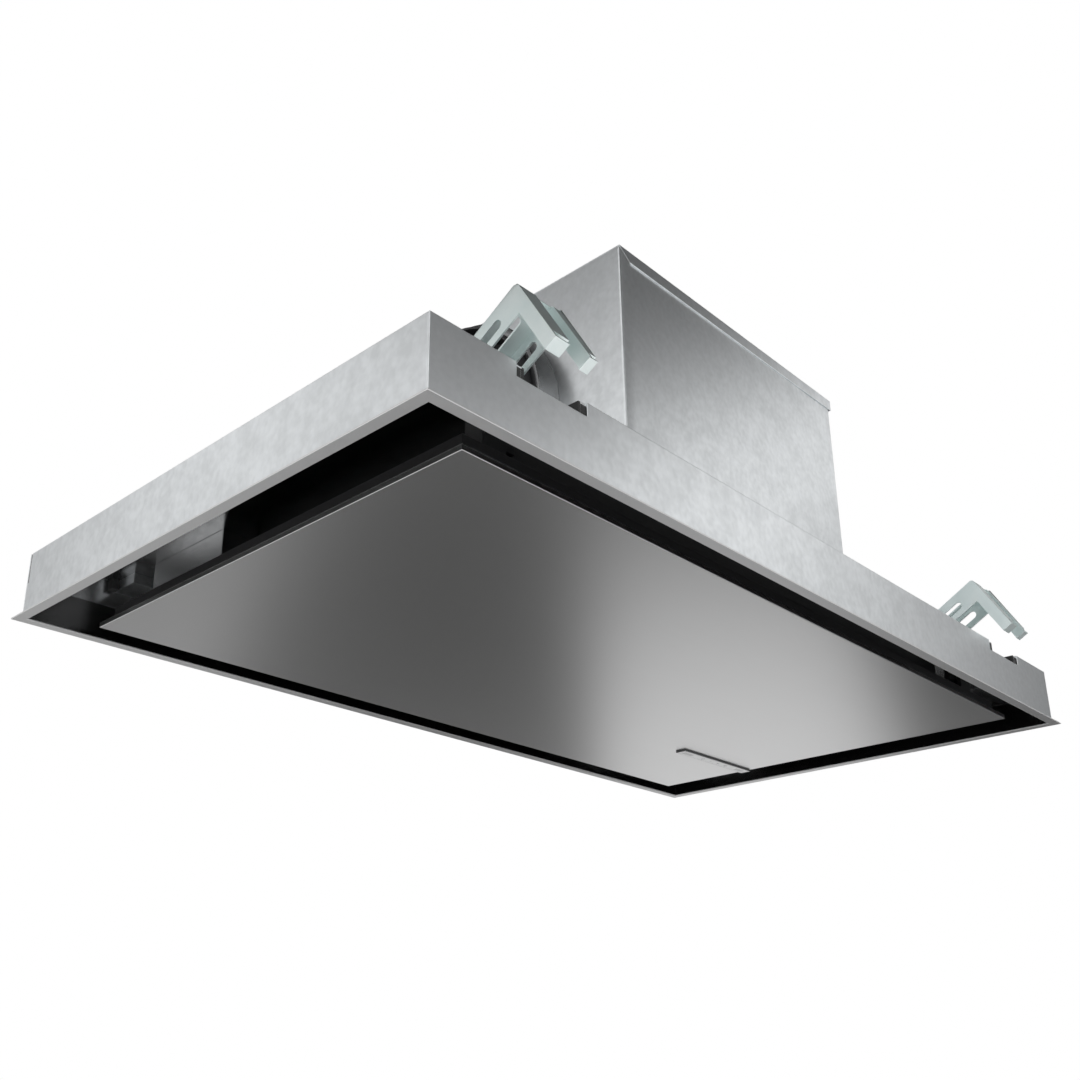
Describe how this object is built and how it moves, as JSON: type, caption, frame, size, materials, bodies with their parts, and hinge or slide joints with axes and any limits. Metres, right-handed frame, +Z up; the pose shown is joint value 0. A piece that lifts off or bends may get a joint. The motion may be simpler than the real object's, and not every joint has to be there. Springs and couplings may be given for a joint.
{
  "type": "ceiling range hood",
  "caption": "Ceiling-mounted range hood with a fold-down perimeter suction panel, a motor box above the deck, a round side duct outlet and hinged mounting clamps.",
  "frame": {"origin": "Middle of the ceiling cut-out, in the ceiling plane: the upper face of the visible frame's rim.", "axes": "X along the frame's long side, with the duct outlet towards -X. Y across it, with the panel's hinge towards +Y. Z up, into the ceiling."},
  "size_m": [0.9, 0.5246, 0.301],
  "materials": {
    "satin_stainless": "satin",
    "galvanised_sheet": "matt spangled",
    "dark_zinc": "dull",
    "black_paint": "matt",
    "filter_aluminium": "satin",
    "black_plastic": "matt",
    "grey_plastic": "satin",
    "pale_plastic": "satin",
    "bezel_plastic": "gloss",
    "touch_cover": "gloss",
    "board_green": "satin",
    "motor_grey": "satin",
    "black_rubber": "matt",
    "bright_steel": "polished",
    "zinc_plate": "bright zinc"
  },
  "bodies": {
    "hood": {"trim_frame": "satin_stainless", "collar_front": "galvanised_sheet", "collar_rear": "galvanised_sheet", "collar_left": "galvanised_sheet", "collar_right": "galvanised_sheet", "deck_plate": "galvanised_sheet", "box_duct_wall": "galvanised_sheet", "box_front_cover": "galvanised_sheet", "box_rear_cover": "galvanised_sheet", "box_right_wall": "galvanised_sheet", "box_lid": "galvanised_sheet", "clamp_pockets": "galvanised_sheet", "terminal_box": "galvanised_sheet", "blower_feet": "galvanised_sheet", "hinge_brackets": "dark_zinc", "motor_spider": "dark_zinc", "plenum_frame": "black_paint", "filter_left_frame": "filter_aluminium", "filter_right_frame": "filter_aluminium", "filter_left_mesh": "filter_aluminium", "filter_right_mesh": "filter_aluminium", "catch_housings": "black_plastic", "duct_adaptor": "black_plastic", "mains_gland": "black_plastic", "blower_control_box": "black_plastic", "outlet_ring": "grey_plastic", "scroll_wall": "pale_plastic", "scroll_side_front": "pale_plastic", "scroll_side_rear": "pale_plastic", "fan_motor": "motor_grey", "blower_bushes": "black_rubber", "pocket_seals": "black_rubber", "flap_pins": "bright_steel", "hinge_pins": "bright_steel", "catch_pins": "bright_steel", "lid_screws": "bright_steel", "cover_screws": "bright_steel", "clamp_bases": "zinc_plate", "base_bolts": "zinc_plate", "clamp_pins": "zinc_plate"},
    "panel": {"panel_skin": "satin_stainless", "panel_tray": "black_paint", "control_bezel": "bezel_plastic", "control_cover": "touch_cover", "control_board": "board_green", "hinge_leaves": "dark_zinc", "panel_strikers": "black_plastic"},
    "catch_left": {"catch_left_lever": "black_plastic"},
    "catch_right": {"catch_right_lever": "black_plastic"},
    "filter_left_latch_bar": {"filter_left_latch": "black_plastic"},
    "filter_right_latch_bar": {"filter_right_latch": "black_plastic"},
    "rotor": {"impeller": "black_plastic", "rotor_shaft": "bright_steel"},
    "flap_front_leaf": {"flap_front": "black_plastic"},
    "flap_rear_leaf": {"flap_rear": "black_plastic"},
    "clamp_fl": {"clamp_front_left": "zinc_plate"},
    "clamp_fr": {"clamp_front_right": "zinc_plate"},
    "clamp_rl": {"clamp_rear_left": "zinc_plate"},
    "clamp_rr": {"clamp_rear_right": "zinc_plate"}
  },
  "joints": [
    {"name": "panel_hinge", "type": "hinge", "parent": "hood", "child": "panel", "pos_m": [0, 0.2, 0.0248], "axis": [1, 0, 0], "range_deg": [0, 88]},
    {"name": "catch_left_hinge", "type": "hinge", "parent": "hood", "child": "catch_left", "pos_m": [-0.34, -0.19, 0.036], "axis": [0, -1, 0], "range_deg": [0, 24], "stiffness_Nm_per_rad": 0.05, "springref_deg": -17.19},
    {"name": "catch_right_hinge", "type": "hinge", "parent": "hood", "child": "catch_right", "pos_m": [0.34, -0.19, 0.036], "axis": [0, 1, 0], "range_deg": [0, 24], "stiffness_Nm_per_rad": 0.05, "springref_deg": -17.19},
    {"name": "filter_left_latch_slide", "type": "slide", "parent": "hood", "child": "filter_left_latch_bar", "axis": [0, 1, 0], "range_m": [0, 0.005], "stiffness_N_per_m": 400, "springref_m": -0.003},
    {"name": "filter_right_latch_slide", "type": "slide", "parent": "hood", "child": "filter_right_latch_bar", "axis": [0, 1, 0], "range_m": [0, 0.005], "stiffness_N_per_m": 400, "springref_m": -0.003},
    {"name": "impeller_spin", "type": "hinge", "parent": "hood", "child": "rotor", "pos_m": [0.02, 0, 0.1512], "axis": [0, -1, 0], "continuous": true},
    {"name": "flap_front_hinge", "type": "hinge", "parent": "hood", "child": "flap_front_leaf", "pos_m": [-0.1795, -0.005, 0.1765], "axis": [0, 0, -1], "range_deg": [0, 80], "stiffness_Nm_per_rad": 0.01, "springref_deg": -14.32},
    {"name": "flap_rear_hinge", "type": "hinge", "parent": "hood", "child": "flap_rear_leaf", "pos_m": [-0.1795, 0.005, 0.1765], "axis": [0, 0, 1], "range_deg": [0, 80], "stiffness_Nm_per_rad": 0.01, "springref_deg": -14.32},
    {"name": "clamp_front_left_hinge", "type": "hinge", "parent": "hood", "child": "clamp_fl", "pos_m": [-0.339, -0.1643, 0.0792], "axis": [1, 0, 0], "range_deg": [-40, 14]},
    {"name": "clamp_front_right_hinge", "type": "hinge", "parent": "hood", "child": "clamp_fr", "pos_m": [0.339, -0.1643, 0.0792], "axis": [1, 0, 0], "range_deg": [-40, 14]},
    {"name": "clamp_rear_left_hinge", "type": "hinge", "parent": "hood", "child": "clamp_rl", "pos_m": [-0.339, 0.1643, 0.0792], "axis": [-1, 0, 0], "range_deg": [-40, 14]},
    {"name": "clamp_rear_right_hinge", "type": "hinge", "parent": "hood", "child": "clamp_rr", "pos_m": [0.339, 0.1643, 0.0792], "axis": [-1, 0, 0], "range_deg": [-40, 14]}
  ]
}
